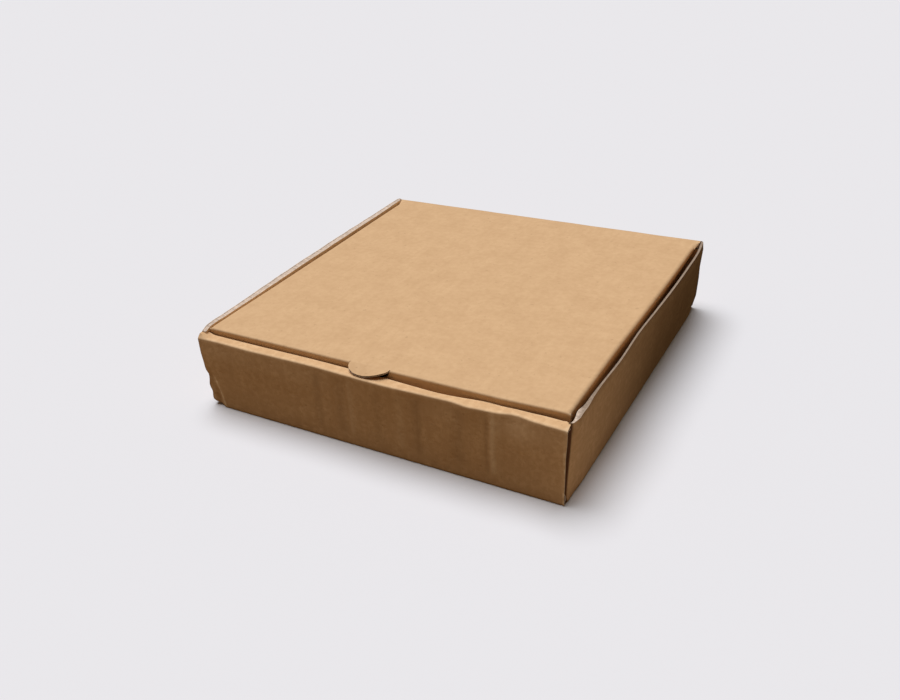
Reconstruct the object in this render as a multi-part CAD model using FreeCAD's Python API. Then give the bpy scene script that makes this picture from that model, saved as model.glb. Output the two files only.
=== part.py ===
import FreeCAD, Part
import math
import os

from FreeCAD import Rotation, Vector

# A square, shallow box folded from one sheet of corrugated board, with its lid closed.
# Millimetres. X runs across the front, Y from front to back, Z up. The origin is the
# middle of the underside. The sheet is written as two solids that meet at the lid's
# fold: the tray (base, walls, corner flaps, roll-over front) and the lid with its flaps.

# Driving dimensions
WIDTH = 260.0            # across the front, outside the bottom folds
DEPTH = 260.0            # front face to back face
BOARD = 2.8              # thickness of the board
LID_TOP = 55.0           # height of the lid's outer face
STRIP_TOP = 51.0         # height of the roll-over strip along the front
SIDE_TOP = 55.6          # height of the side walls' raw top edges
SIDE_BOW = 3.5           # how far the lid pushes each side wall's top edge outward
LAYER_GAP = 0.15         # air between layers of board that lie on each other
FOLD_RADIUS = 1.5        # outside radius of a fold
CORNER_RADIUS = 2.5      # outside radius of the walls' upright folds
FLAP_CORNER = 8.0        # rounding of the flaps' free corners

# Corner flaps, which join the side walls to the front and the back
FLAP_LENGTH = 44.0
FLAP_TAPER = 3.5         # how much each long edge slants in over the flap's length
BACK_FLAP_TOP = 50.0

# Tongues of the inner front panel and the slots in the base that hold them
TONGUE_WIDTH = 26.0
TONGUE_SPACING = 150.0
TONGUE_PLAY = 0.25
TONGUE_END = 0.2         # height of the tongues' ends above the underside

# Side walls' top edges near the front, where they come down to the strip
SIDE_FRONT_TOP = 51.6
SIDE_FRONT_RUN = 9.0

# Lid
LID_SIDE_PLAY = 0.4      # from the lid's side flaps to the side walls
LID_FRONT_PLAY = 0.4     # from the lid's front flap to the inner front panel
FRONT_FLAP_DEPTH = 42.0
FRONT_FLAP_LEAN = 6.0    # degrees; the flap leans in, so that it swings clear
FRONT_FLAP_TAPER = 6.6
SIDE_FLAP_DEPTH = 46.0
SIDE_FLAP_TAPER = 8.0
SIDE_FLAP_FRONT_PLAY = 0.6   # from the front flap's inner face to the side flaps
SIDE_FLAP_BACK = 121.0   # where the side flaps stop, ahead of the back corner flaps
TAB_WIDTH = 28.0         # thumb tab, cut out of the front flap
TAB_REACH = 8.9
TAB_SHIFT = -1.5         # the tab sits a little left of the middle
HINGE_GAP = 0.3          # between the lid and the back wall along their shared fold

# Derived places
SIDE = WIDTH / 2
FRONT = -DEPTH / 2
BACK = DEPTH / 2
OUTER_FRONT_INSIDE = FRONT + BOARD
INNER_FRONT_OUTSIDE = FRONT + 2 * BOARD + 2 * LAYER_GAP
INNER_FRONT_INSIDE = INNER_FRONT_OUTSIDE + BOARD
SIDE_END = BACK - BOARD - LAYER_GAP
STRIP_UNDERSIDE = STRIP_TOP - BOARD
STRIP_SIDE = SIDE - BOARD - LAYER_GAP
LID_SIDE = SIDE - BOARD - LID_SIDE_PLAY
LID_FRONT = INNER_FRONT_INSIDE + LID_FRONT_PLAY
LID_UNDERSIDE = LID_TOP - BOARD
FLAP_ROOT = LID_TOP - FOLD_RADIUS
TAB_RADIUS = ((TAB_WIDTH / 2) ** 2 + TAB_REACH ** 2) / (2 * TAB_REACH)
MITRE_SET_BACK = HINGE_GAP / 2 * math.sqrt(2)   # of each mitred face, along Z
ALONG_X = Vector(1, 0, 0)
ALONG_Y = Vector(0, 1, 0)
ALONG_Z = Vector(0, 0, 1)
MARGIN = 2.0             # how far cutting shapes reach past what they cut
HAIR = 0.01              # too small to see


def rounded_face(corners):
    """Flat face inside a list of (corner point, corner radius)."""
    count = len(corners)
    stretches = []
    arcs = []
    for index, (corner, radius) in enumerate(corners):
        if radius == 0:
            stretches.append((corner, corner))
            continue
        to_last = (corners[index - 1][0] - corner).normalize()
        to_next = (corners[(index + 1) % count][0] - corner).normalize()
        half_angle = to_last.getAngle(to_next) / 2
        start = corner + to_last * (radius / math.tan(half_angle))
        stop = corner + to_next * (radius / math.tan(half_angle))
        towards_centre = (to_last + to_next).normalize()
        middle = corner + towards_centre * (radius / math.sin(half_angle) - radius)
        arcs.append(Part.Arc(start, middle, stop).toShape())
        stretches.append((start, stop))
    lines = [
        Part.makeLine(stretches[index - 1][1], stretches[index][0])
        for index in range(count)
    ]
    return Part.Face(Part.Wire(Part.__sortEdges__(lines + arcs)))


def yz_prism(outline, x_low, x_high):
    """Solid with a (y, z, corner radius) outline, from x_low to x_high."""
    corners = [(Vector(x_low, y, z), radius) for y, z, radius in outline]
    return rounded_face(corners).extrude(ALONG_X * (x_high - x_low))


def xz_prism(outline, y_low, y_high):
    """Solid with an (x, z, corner radius) outline, from y_low to y_high."""
    corners = [(Vector(x, y_low, z), radius) for x, z, radius in outline]
    return rounded_face(corners).extrude(ALONG_Y * (y_high - y_low))


def xy_prism(outline, z_low, z_high):
    """Solid with an (x, y, corner radius) outline, from z_low to z_high."""
    corners = [(Vector(x, y, z_low), radius) for x, y, radius in outline]
    return rounded_face(corners).extrude(ALONG_Z * (z_high - z_low))


def block(low, high):
    """Box between two corner points."""
    size = Vector(*high) - Vector(*low)
    return Part.makeBox(size.x, size.y, size.z, Vector(*low))


def both_sides(shape):
    """The shape on the right, and its mirror image on the left."""
    return [shape, shape.mirror(Vector(0, 0, 0), ALONG_X)]


def round_bar(radius, centre, axis, length):
    """Cylinder that stays behind where a fold's square corner is taken off."""
    return Part.makeCylinder(radius, length, centre, axis)


def front_base_back():
    """The run of board from the inner front over the strip, down, and up the back."""
    outline = [
        (FRONT, 0, FOLD_RADIUS),
        (BACK, 0, FOLD_RADIUS),
        (BACK, LID_TOP - MITRE_SET_BACK, 0),
        (BACK - BOARD, LID_UNDERSIDE - MITRE_SET_BACK, 0),
        (BACK - BOARD, BOARD, 0),
        (OUTER_FRONT_INSIDE, BOARD, 0),
        (OUTER_FRONT_INSIDE, STRIP_UNDERSIDE, 0),
        (INNER_FRONT_OUTSIDE, STRIP_UNDERSIDE, 0),
        (INNER_FRONT_OUTSIDE, BOARD + LAYER_GAP, 0),
        (INNER_FRONT_INSIDE, BOARD + LAYER_GAP, 0),
        (INNER_FRONT_INSIDE, STRIP_TOP, FOLD_RADIUS),
        (FRONT, STRIP_TOP, FOLD_RADIUS),
    ]
    board = yz_prism(outline, -SIDE, SIDE)
    beyond = SIDE + MARGIN
    inner_end = block(
        (STRIP_SIDE, OUTER_FRONT_INSIDE, BOARD),
        (beyond, INNER_FRONT_INSIDE + MARGIN, STRIP_TOP + MARGIN),
    )
    slant = xy_prism(
        [
            (SIDE, FRONT, 0),
            (STRIP_SIDE, OUTER_FRONT_INSIDE, 0),
            (beyond, OUTER_FRONT_INSIDE, 0),
            (beyond, FRONT, 0),
        ],
        STRIP_UNDERSIDE,
        STRIP_TOP + MARGIN,
    )
    return board.cut(both_sides(inner_end) + both_sides(slant))


def hinge_round(board):
    """Rounds the fold that the back wall and the lid share."""
    centre_y = BACK - FOLD_RADIUS
    centre_z = LID_TOP - FOLD_RADIUS
    beyond = SIDE + MARGIN
    corner = block(
        (-beyond, centre_y, centre_z),
        (beyond, BACK + MARGIN, LID_TOP + MARGIN),
    )
    bar = round_bar(FOLD_RADIUS, Vector(-beyond, centre_y, centre_z), ALONG_X, 2 * beyond)
    return board.cut(corner.cut(bar))


def side_wall():
    """Right side wall, bowed outward along its top edge."""

    def level(z, bow):
        outer = [Vector(SIDE, FRONT, z), Vector(SIDE + bow, 0, z), Vector(SIDE, BACK, z)]
        inner = [point - ALONG_X * BOARD for point in outer]
        edges = [
            Part.Arc(*outer).toShape(),
            Part.makeLine(outer[2], inner[2]),
            Part.Arc(*reversed(inner)).toShape(),
            Part.makeLine(inner[0], outer[0]),
        ]
        return Part.Wire(edges)

    # The lowest level is bowed by a hair, so that both levels are made of the same curves.
    loft = Part.makeLoft([level(0, HAIR), level(SIDE_TOP, SIDE_BOW)], True, True)
    side_view = [
        (-SIDE_END, 0, 0),
        (SIDE_END, 0, 0),
        (SIDE_END, SIDE_TOP, FOLD_RADIUS),
        (-SIDE_END + SIDE_FRONT_RUN, SIDE_TOP, 0),
        (-SIDE_END, SIDE_FRONT_TOP, 0),
    ]
    trimmed = yz_prism(side_view, SIDE - BOARD - MARGIN, SIDE + SIDE_BOW + MARGIN)
    return loft.common(trimmed)


def corner_flap(top):
    """Flap at the back end of the right side wall, between the back's layers."""
    root = SIDE - BOARD / 2
    tip = SIDE - FLAP_LENGTH
    low = BOARD + LAYER_GAP
    outline = [
        (root, low, 0),
        (root, top, 0),
        (tip, top - FLAP_TAPER, FLAP_CORNER),
        (tip, low + FLAP_TAPER, FLAP_CORNER),
    ]
    return xz_prism(outline, SIDE_END - BOARD, SIDE_END)


def right_side():
    """Right side wall with its two corner flaps, rounded at the upright folds."""
    front_flap = corner_flap(STRIP_UNDERSIDE - LAYER_GAP)
    front_flap = front_flap.mirror(Vector(0, 0, 0), ALONG_Y)
    side = side_wall().fuse([corner_flap(BACK_FLAP_TOP), front_flap])
    height = SIDE_TOP + MARGIN
    for end in (1, -1):
        centre = Vector(SIDE - CORNER_RADIUS, end * (SIDE_END - CORNER_RADIUS), 0)
        corner_ys = sorted((centre.y, end * (SIDE_END + MARGIN)))
        corner = block((centre.x, corner_ys[0], 0), (SIDE + MARGIN, corner_ys[1], height))
        side = side.cut(corner.cut(round_bar(CORNER_RADIUS, centre, ALONG_Z, height)))
    return side


def tongues_and_slots():
    """Tongues under the inner front panel, and the slots that they stand in."""
    tongues = []
    slots = []
    for middle in (-TONGUE_SPACING / 2, TONGUE_SPACING / 2):
        low_x = middle - TONGUE_WIDTH / 2
        high_x = middle + TONGUE_WIDTH / 2
        tongues.append(block(
            (low_x, INNER_FRONT_OUTSIDE, TONGUE_END),
            (high_x, INNER_FRONT_INSIDE, 2 * BOARD),
        ))
        slots.append(block(
            (low_x - TONGUE_PLAY, INNER_FRONT_OUTSIDE - TONGUE_PLAY, -MARGIN),
            (high_x + TONGUE_PLAY, INNER_FRONT_INSIDE + TONGUE_PLAY, BOARD),
        ))
    return tongues, slots


def bottom_side_rounds():
    """What the folds under the two side walls take off the base's square edges."""
    length = DEPTH + 2 * MARGIN
    corner = block(
        (SIDE - FOLD_RADIUS, FRONT - MARGIN, -MARGIN),
        (SIDE + MARGIN, BACK + MARGIN, FOLD_RADIUS),
    )
    centre = Vector(SIDE - FOLD_RADIUS, FRONT - MARGIN, FOLD_RADIUS)
    return both_sides(corner.cut(round_bar(FOLD_RADIUS, centre, ALONG_Y, length)))


def tray():
    """Base, walls, corner flaps and roll-over front, as one folded solid."""
    tongues, slots = tongues_and_slots()
    board = hinge_round(front_base_back()).cut(slots)
    board = board.fuse(both_sides(right_side()) + tongues)
    return board.cut(bottom_side_rounds()).removeSplitter()


def lid_panel():
    """Top panel, mitred at the back against the back wall."""
    panel = block((-LID_SIDE, LID_FRONT, LID_UNDERSIDE), (LID_SIDE, BACK, LID_TOP))
    folded = []
    for edge in panel.Edges:
        middle = edge.BoundBox.Center
        at_back = middle.y > BACK - BOARD
        if middle.z > LID_TOP - HAIR and not at_back:
            folded.append(edge)
    panel = panel.makeFillet(FOLD_RADIUS, folded)
    near_y = BACK - BOARD - MARGIN - MITRE_SET_BACK
    far_y = BACK + MARGIN
    wedge = yz_prism(
        [
            (near_y, LID_UNDERSIDE - MARGIN, 0),
            (far_y, LID_UNDERSIDE - MARGIN, 0),
            (far_y, LID_TOP + MARGIN + MITRE_SET_BACK, 0),
        ],
        -SIDE,
        SIDE,
    )
    return hinge_round(panel.cut(wedge))


def tab_disc(y_middle, z_middle, axis, thickness):
    """Disc whose edge is the outline of the thumb tab, and of the opening it was cut from."""
    return Part.makeCylinder(TAB_RADIUS, thickness, Vector(TAB_SHIFT, y_middle, z_middle), axis)


def lid_front_flap():
    """Front flap, with the opening that the thumb tab was cut from."""
    narrow = LID_SIDE - FRONT_FLAP_TAPER
    outline = [
        (-LID_SIDE, 0, 0),
        (LID_SIDE, 0, 0),
        (narrow, -FRONT_FLAP_DEPTH, FLAP_CORNER),
        (-narrow, -FRONT_FLAP_DEPTH, FLAP_CORNER),
    ]
    flap = xz_prism(outline, 0, BOARD)
    notch = tab_disc(-MARGIN, TAB_RADIUS - TAB_REACH, ALONG_Y, BOARD + 2 * MARGIN)
    flap = flap.cut(notch)
    flap.Placement = FreeCAD.Placement(
        Vector(0, LID_FRONT, FLAP_ROOT), Rotation(ALONG_X, FRONT_FLAP_LEAN)
    )
    return flap


def lid_side_flap():
    """Right side flap."""
    low = LID_TOP - SIDE_FLAP_DEPTH
    front = LID_FRONT + BOARD + SIDE_FLAP_FRONT_PLAY
    outline = [
        (front, FLAP_ROOT, 0),
        (SIDE_FLAP_BACK, FLAP_ROOT, 0),
        (SIDE_FLAP_BACK - SIDE_FLAP_TAPER, low, FLAP_CORNER),
        (front + SIDE_FLAP_TAPER, low, FLAP_CORNER),
    ]
    return yz_prism(outline, LID_SIDE - BOARD, LID_SIDE)


def lid():
    """Top panel, thumb tab, front flap and side flaps, as one folded solid."""
    disc = tab_disc(LID_FRONT - TAB_REACH + TAB_RADIUS, LID_UNDERSIDE, ALONG_Z, BOARD)
    return (
        lid_panel()
        .fuse([disc, lid_front_flap()] + both_sides(lid_side_flap()))
        .removeSplitter()
    )


os.makedirs("parts", exist_ok=True)
for name, shape in (("tray", tray()), ("lid", lid())):
    box = shape.BoundBox
    print(
        f"{name}: {len(shape.Solids)} solid, valid {shape.isValid()},"
        f" volume {shape.Volume:.0f} mm3,"
        f" x {box.XMin:.2f} to {box.XMax:.2f},"
        f" y {box.YMin:.2f} to {box.YMax:.2f},"
        f" z {box.ZMin:.2f} to {box.ZMax:.2f}"
    )
    shape.exportStep(f"parts/{name}.step")
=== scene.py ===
import math

import bmesh
import bpy
import numpy as np
from mathutils import Matrix, Vector, noise


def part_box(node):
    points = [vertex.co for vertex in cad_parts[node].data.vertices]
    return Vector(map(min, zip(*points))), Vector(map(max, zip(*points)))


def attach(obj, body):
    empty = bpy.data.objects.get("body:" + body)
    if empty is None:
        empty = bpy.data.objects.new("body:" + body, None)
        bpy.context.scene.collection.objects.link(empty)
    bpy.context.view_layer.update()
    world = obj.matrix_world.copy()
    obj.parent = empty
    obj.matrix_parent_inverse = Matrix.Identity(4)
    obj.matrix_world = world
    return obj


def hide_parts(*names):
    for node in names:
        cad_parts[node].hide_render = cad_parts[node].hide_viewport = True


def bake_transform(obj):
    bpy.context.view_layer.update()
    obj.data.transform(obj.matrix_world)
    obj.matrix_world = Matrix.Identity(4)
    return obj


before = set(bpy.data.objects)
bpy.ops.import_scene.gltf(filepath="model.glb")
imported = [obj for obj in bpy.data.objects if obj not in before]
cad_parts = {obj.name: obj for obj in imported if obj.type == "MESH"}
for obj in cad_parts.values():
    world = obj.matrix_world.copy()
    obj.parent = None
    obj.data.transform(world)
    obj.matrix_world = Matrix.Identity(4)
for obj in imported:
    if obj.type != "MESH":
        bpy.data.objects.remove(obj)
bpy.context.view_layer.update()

# Sizes in metres. Those that the frame knows are read from it.
MM = 0.001
TRAY_LOW, TRAY_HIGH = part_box("tray")
LID_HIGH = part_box("lid")[1]
FRONT = -TRAY_LOW.y
BACK = TRAY_HIGH.y
SIDE = FRONT
SIDE_TOP = TRAY_HIGH.z
LID_SIDE = LID_HIGH.x
LID_TOP = LID_HIGH.z

# The board: its thickness, the gap between folded layers, its papers and its flutes
BOARD = 2.8 * MM
LAYER_GAP = 0.15 * MM
LINER = 0.38 * MM
FLUTE_PITCH = 6.5 * MM
FLUTE_PAPER = 0.22 * MM
FLUTE_STEP = 0.7 * MM
FLUTE_SHORTEST = 0.3 * MM
FLUTE_START = 0.3

# How far the flutes stand back from a raw edge: less on the walls' tops, and more where a flute
# gapes at the front panel's ends
EDGE_GROOVE = 0.6 * MM
GROOVE_SLANT = 0.35
SHALLOW_GROOVE = 0.25 * MM
WALL_TOP_U = SIDE + 50 * MM
GAPING_GROOVE = 2.6 * MM
GAPING_U = (127.0 * MM, 130.5 * MM)
GAPING_V = (-180.0 * MM, -131.0 * MM)

# Radii of the folds in the outer paper
FOLD = 1.2 * MM
UPRIGHT_FOLD = 3.2 * MM
LID_SIDE_FOLD = 2.2 * MM
FLAT_FOLD = FOLD * math.pi / 2

# Places of the folds, the flaps' lengths, and how far the lid's flaps lean inward
STRIP_TOP = 51.0 * MM
STRIP_INNER = FRONT - 3 * BOARD - 2 * LAYER_GAP
BASE_TURN = SIDE - FOLD
SIDE_END = FRONT - BOARD - LAYER_GAP
CORNER_FLAP = 44 * MM
LID_FRONT = STRIP_INNER - 0.4 * MM
LID_CREST = LID_SIDE + 0.25 * MM
LID_BACK = BACK - FOLD
LID_CORNER = 130.2 * MM
LID_FLAP_BACK = 123.4 * MM
FRONT_FLAP_DROP = 43.5 * MM
FRONT_FLAP_LEAN = math.radians(6.0)
SIDE_FLAP_DROP = 45.5 * MM
SIDE_FLAP_LEAN = math.radians(20.0)

# Tongues of the inner front panel, from the middle outward, and their slots' clearances
TONGUE_IN = 62 * MM
TONGUE_OUT = 88 * MM
SLOT_SIDE_ROOM = 0.25 * MM
SLOT_END_ROOM = 0.5 * MM

# The thumb tab, a half round with a squarer left end, and the slit around it
TAB_REACH = 9.1 * MM
TAB_HALF = 13.9 * MM
TAB_SHIFT = -0.5 * MM
TAB_SLIT = 0.35 * MM
TAB_LEFT_POWER = 2.5
TAB_RIGHT_POWER = 2.05
TAB_STEPS = 30

# The crease between the back wall and the lid
CREASE_HALF = 131.0 * MM
CREASE_COLUMNS = 67
CREASE_ROWS = 8
CREASE_OVERLAP = 0.1 * MM
CREASE_BEAD = 0.9 * MM
CREASE_WANDER = 0.15 * MM
CREASE_WEAR = 0.1

# Where the side walls' flaps begin on the tray's blank, and the height over which they turn
FLAP_U = SIDE + 1.6 * MM
FLAP_TURN_HEIGHT = 3 * MM

# Grid of the blanks: plain steps, and stretches (low, high, step) of the tray with finer ones
U_STEP = 4 * MM
V_STEP = 6 * MM
FINE_COLUMNS = (
    (79.4 * MM, 88.2 * MM, 0.6 * MM),
    (125.2 * MM, 129 * MM, 1.1 * MM),
    (-129 * MM, -112 * MM, 0.9 * MM),
)
FINE_ROWS = (
    (-BASE_TURN - 28 * MM, -BASE_TURN - 2 * MM, 1.1 * MM),
    (-123.6 * MM, -94 * MM, 1.3 * MM),
    (-128.6 * MM, -123.7 * MM, 0.5 * MM),
)
ARC_STEPS = 6
FOLD_ROWS = 5
CLOSE_ROWS = 0.05 * MM
MERGED = 0.002 * MM
SHARP = math.radians(32)

# How far the side walls' top edges stand out, at places from front to back
WALL_Y = MM * np.array([-128, -124, -121, -117, -112, -105, -96, -85, -60, -20, 10, 40, 80, 110, 130])
RIGHT_OUT = MM * np.array([0, 0, 1.2, 2.6, 2.5, 2.8, 2.7, 3.4, 4.7, 4.1, 5, 5.7, 5.8, 5.3, 3.4])
LEFT_OUT = MM * np.array([0, 0.1, 0.2, 0.2, 0.2, 0.2, 0.2, 0.3, 0.8, 1.6, 1.9, 2.2, 2.4, 2.4, 1.8])

# How far the walls' tops have sagged
RIGHT_SAG = MM * np.array([1, 2.6, 3.4, 3.6, 3.4, 3, 1.8, 0.8, 0.1, 0, 0, 0, 0, -0.1, -0.8])
LEFT_SAG = MM * np.array([1.6, 1, 0.4, 0, -0.1, 0, 0, 0, 0, 0, 0, 0, 0, -0.2, -1.3])

# The split along the right front fold, painted in shade: how far back it reaches at each height
SPLIT_Z = MM * np.array([0, 12, 20, 32, 42, 48, 56])
SPLIT_Y = MM * np.array([-126.2, -125.9, -125.6, -124.9, -124.1, -123.5, -122.8])

# How far each paper at a wall's top edge has moved: the right wall is crushed thin along most of
# its length, and the left wall's edge has come open
RIGHT_OUTER = MM * np.array([0, 0, -0.3, -0.7, -0.6, -0.6, -0.6, -0.9, -1, -1, -0.9, -0.8, -0.8, -0.9, -1])
RIGHT_INNER = MM * np.array([0.6, 1.4, 1, -0.6, -1.4, -0.4, 0.4, 0.6, 0.6, 0.6, 0.6, 0.6, 0.6, 0.4, 0])
LEFT_OUTER = MM * np.array([0, 0, 0.2, 0.3, 0.4, 0.6, 0.8, 1, 1.5, 1.8, 1.8, 1.7, 1.3, 0.8, 0.2])
LEFT_INNER = 0.6 * MM

# How far the strip's two folds wander forward, from left to right
STRIP_X = MM * np.array([
    -130, -115, -95, -85, -66, -47, -29, -20, 0, 24, 37, 50, 60, 70, 77, 88, 99, 106, 114, 130,
])
OUTER_WANDER = MM * np.array([
    -0.8, -1.3, -0.7, -0.5, -0.9, -1.1, -0.6, -0.2, 0.1, 0.3, -0.3, -0.5, -0.7, 0.5, -0.2, -0.9, -3.1,
    -1.9, -1.2, -0.6,
])
INNER_WANDER = MM * np.array([
    -0.2, 0.1, 0.1, 0.1, 0, -0.1, 0, 0.2, 0.4, 1.4, 2.1, 2.4, 1.7, 0.3, -0.4, -0.1, -0.2, -0.3, -0.6, 0,
])

# Upright creases in the front panel: place, half width, depth, and how much darker or paler the paper is
# painted; the darker bands are painted shade in the creases
FRONT_CREASES = [
    (-0.0360, 0.0030, 0.0002, -0.40), (-0.0182, 0.0036, 0.0004, -0.45), (-0.0124, 0.0024, 0.0, 0.25),
    (0.0088, 0.0028, 0.0, -0.28), (0.0238, 0.0030, 0.0, 0.16), (0.0355, 0.0032, 0.0003, -0.55),
    (0.0630, 0.0032, 0.0003, -0.45), (0.0814, 0.0013, 0.0002, -0.40), (0.0857, 0.0020, -0.0004, 0.50),
]

# The side walls: heights over which they bow, sag and open, smaller shifts, and how much darker or
# paler the paper is there: painted shade over the split, painted light on the left rim's inner paper,
# a darker right rim and a pale worn top edge
BOW_POWER = 1.3
BOW_LIMIT = 1.02
WALL_RIM = (0.0500, 0.0550)
SAG_FROM = 0.025
SAG_OVER = 0.030
RIM_WAVE = 0.3 * MM
RIM_NOISE = (110, 7.7)
SPLIT_BLUR = (-0.0005, 0.0003)
SPLIT_FROM_X = 0.110
SPLIT_OPENS = (0.006, 0.034)
SPLIT_PULL = 0.3 * MM
LOW_PULL_Y = (-0.120, -0.105)
LOW_PULL_Z = (0.0, 0.040)
LOW_PULL = 0.7 * MM
# Painted shade over the split along the right front fold
SPLIT_PAINTED_SHADE = 2.4
RIM_SHADE = 0.9
RIM_SHADED_Y = (-0.1225, -0.1150)
RIM_PALER = 0.7
RIM_PALER_Y = (-0.1120, -0.1060)
# Painted light on the left rim's inner paper
LEFT_RIM_PAINTED_LIGHT = 0.9
TOP_PALE = 0.3
TOP_PALE_WIDTH = 0.8 * MM

# The roll-over strip: how far a fold's wander reaches, and how its ends lift
WANDER_BELOW = 9.0 * MM
WANDER_ABOVE = 5.5 * MM
WANDER_INNER = 4.0 * MM
STRIP_PAST = 1.5 * MM
LEFT_LIFT_X = (-0.1300, -0.1215)
LEFT_LIFT_Y = (-0.1300, -0.1265)
LEFT_LIFT = 2.2 * MM
RIGHT_LIFT_X = (0.1235, 0.1290)
RIGHT_LIFT_Y = (-0.1295, -0.1255)
RIGHT_LIFT = 0.9 * MM
LEFT_END_X = (-0.130, -0.122)
LEFT_SPREAD_Z = (0.030, 0.050)
LEFT_SPREAD = 0.6 * MM
OUTER_FOLD_PALE = 0.25
INNER_FOLD_PALE = 0.2
FOLD_PALE_WIDTH = 1.2 * MM

# The front panel: its face, its torn inner paper, its waves, its foot and its frayed right end
FACE_Y = -0.1268
TEAR_END = 0.1300
TEAR_DEPTH = 0.0026
TEAR_SHARE = 0.8
TEAR_SQUEEZE = 0.02
TEAR_FROM = (0.002, 0.008)
TEAR_TO = (0.046, 0.0495)
CREASE_FROM = (0.004, 0.012)
CREASE_TO = (0.044, 0.0505)
CREASE_SWAY = 0.3 * MM
CREASE_SWAY_RATE = 200
PANEL_WAVE = 0.5 * MM
PANEL_NOISE = (35, 1.7)
PANEL_WAVE_Z = (0.002, 0.020)
FOOT_Z = (0.002, 0.030)
FOOT_FORWARD = 0.6 * MM
FRAYED_X = (0.1272, 0.1288)
FRAYED_NOISE = (300, 8.4)
FRAYED_PALE = 0.2
THREAD_PALE = 1.5
THREAD_CONTRAST = 2.2

# The knocked corner at the front's lower left: the crease across it, how it is pushed in, and painted shade
# on its pushed-in part
CORNER_Z = MM * np.array([0, 3.8, 12.9, 21.7, 27])
CORNER_X = MM * np.array([-117, -117.7, -119.3, -121.8, -123.2])
KNOCK_BLUR = (-0.0005, 0.0040)
KNOCK_TOP = (0.022, 0.030)
KNOCK_BACK_Y = -0.118
KNOCK_TIP = (-0.1285, -0.1300)
KNOCK_REACH = 0.010
KNOCK_POWER = 1.3
KNOCK_PAINTED_SHADE = 0.35
KNOCK_SHADE_FROM = 1.5 * MM
TIP_RAISED = 3.2 * MM
TIP_RAISED_Z = (0.0, 0.024)
TIP_INWARD = 0.6 * MM
TIP_INWARD_Z = (0.002, 0.012)
LUMP_NOISE = (190, 5.2)
LUMP_Y = (-0.128, -0.112)
LUMP_HALF_HEIGHT = 0.0035
LUMP_OUT, LUMP_OUT_Z = 1.2 * MM, 0.0125
LUMP_IN, LUMP_IN_Z = 0.9 * MM, 0.0215
PALE_CREASE = 1.3
PALE_CREASE_WIDTH = 0.7 * MM
PALE_CREASE_TOP = (0.020, 0.026)
FLECK_NOISE = (420, 2.9)

# The dented foot at the back right
DENT_X, DENT_Y = 0.130, 0.127
DENT_REACH = 0.007
DENT_Z = (0.0, 0.012)
DENT_INWARD = 1.5 * MM
DENT_RAISED = 0.8 * MM

# How far the thumb tab's end is pressed down, from left to right, and how thin its rim is crushed
TAB_X = MM * np.array([-14.5, -9, -1, 6.5, 14])
TAB_DROP = MM * np.array([2.1, 2.3, 2.2, 1.1, 0.1])
TAB_DROP_POWER = 1.2
TAB_RIM = (0.40, 0.95)
TAB_CRUSH = 1.7 * MM

# The lid: its left flap's lean, front corners, warp, widening towards the back, and pale edges
HANGING_X = 0.100
HANGING_Y = -0.1182
LEFT_FLAP_SLOPE = 0.24
LID_NOSE_X, LID_NOSE_Y = 0.1272, -0.1203
LID_NOSE_REACH = 0.0022
LID_NOSE_DROP = 0.7 * MM
SHORT_CORNER_X = (0.080, 0.128)
SHORT_CORNER_Y = (-0.110, -0.080)
SHORT_CORNER = 1.8 * MM
LID_WARP = 0.35 * MM
WARP_NOISE = (14, 3.1)
LID_FREE = 0.05
WIDENING_Z = (0.020, 0.054)
RIGHT_WIDENS = (-0.060, 0.060)
RIGHT_NARROWS = (0.1245, 0.1285)
LEFT_WIDENS = (-0.020, 0.125)
LID_EDGE_PALE = 0.12
FRONT_EDGE_WIDTH = 1.5 * MM
SIDE_EDGE_WIDTH = 1.2 * MM

# Camera, fitted to the straight edges of the box
CAMERA_PLACE = (268.16 * MM, -477.31 * MM, 317.83 * MM)
CAMERA_AZIMUTH = 30.877
CAMERA_ELEVATION = 31.905
CAMERA_ROLL = -4.048
CAMERA_LENS = 34.611
CAMERA_SHIFT_UP = 0.0333

# Colours of the papers and of the raw edges, and how blotchy each paper is
TRAY_PAPER = (0.745, 0.495, 0.279)
TRAY_MOTTLING = 0.9
LID_PAPER = (0.655, 0.435, 0.246)
LID_MOTTLING = 0.25
DARKER = (0.84, 0.80, 0.76)
PALER = (1.10, 1.12, 1.15)
# Scuffs and painted light tint the paper towards this
SCUFFED_AND_PAINTED_LIGHT = (1.25, 1.45, 1.75)
SPECK_COLOUR = (0.16, 0.085, 0.045)
# Darker paper and painted shade mix towards this
DARK_PAPER_AND_PAINTED_SHADE = (0.12, 0.05, 0.02)
PAPER_ROUGHNESS = 0.86
PAPER_SPECULAR = 0.25
CUT_COLOUR = (0.80, 0.66, 0.55)
CUT_ROUGHNESS = 0.9
CUT_SPECULAR = 0.2
CORE_COLOUR = (0.74, 0.60, 0.50)
CORE_ROUGHNESS = 0.95
# Darker raw edges and painted shade mix towards this
DARK_CUT_AND_PAINTED_SHADE = (0.14, 0.09, 0.05)
DULL = 0.62
BUMP_DISTANCE = 0.0002

# Stage: the floor and the room as the camera sees them and as they light the box, and the sun
FLOOR_REACH = 40.0
FLOOR_DROP = 0.05 * MM
FLOOR_SEEN = (0.75, 0.762, 0.813)
FLOOR_UNSEEN = (0.24, 0.165, 0.095)
FLOOR_LIGHT = (0.58, 0.49, 0.40)
FLOOR_DARK = (0.01, 0.006, 0.003)
BESIDE_X = (0.125, 0.135)
BESIDE_Y = (-0.20, -0.13)
DARKENING_Y = (-0.14, 0.02)
ROOM_SEEN = (0.815, 0.807, 0.831)
ROOM_UNSEEN = (0.13, 0.095, 0.06)
SUN_STRENGTH = 3.15
SUN_SOFTNESS = 45.0
SUN_FROM_BACK = 9.0
SUN_FROM_LEFT = 14.0

# Material slots of a board piece
PAPER, CUT_PAPER, CORE = 0, 1, 2


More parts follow.
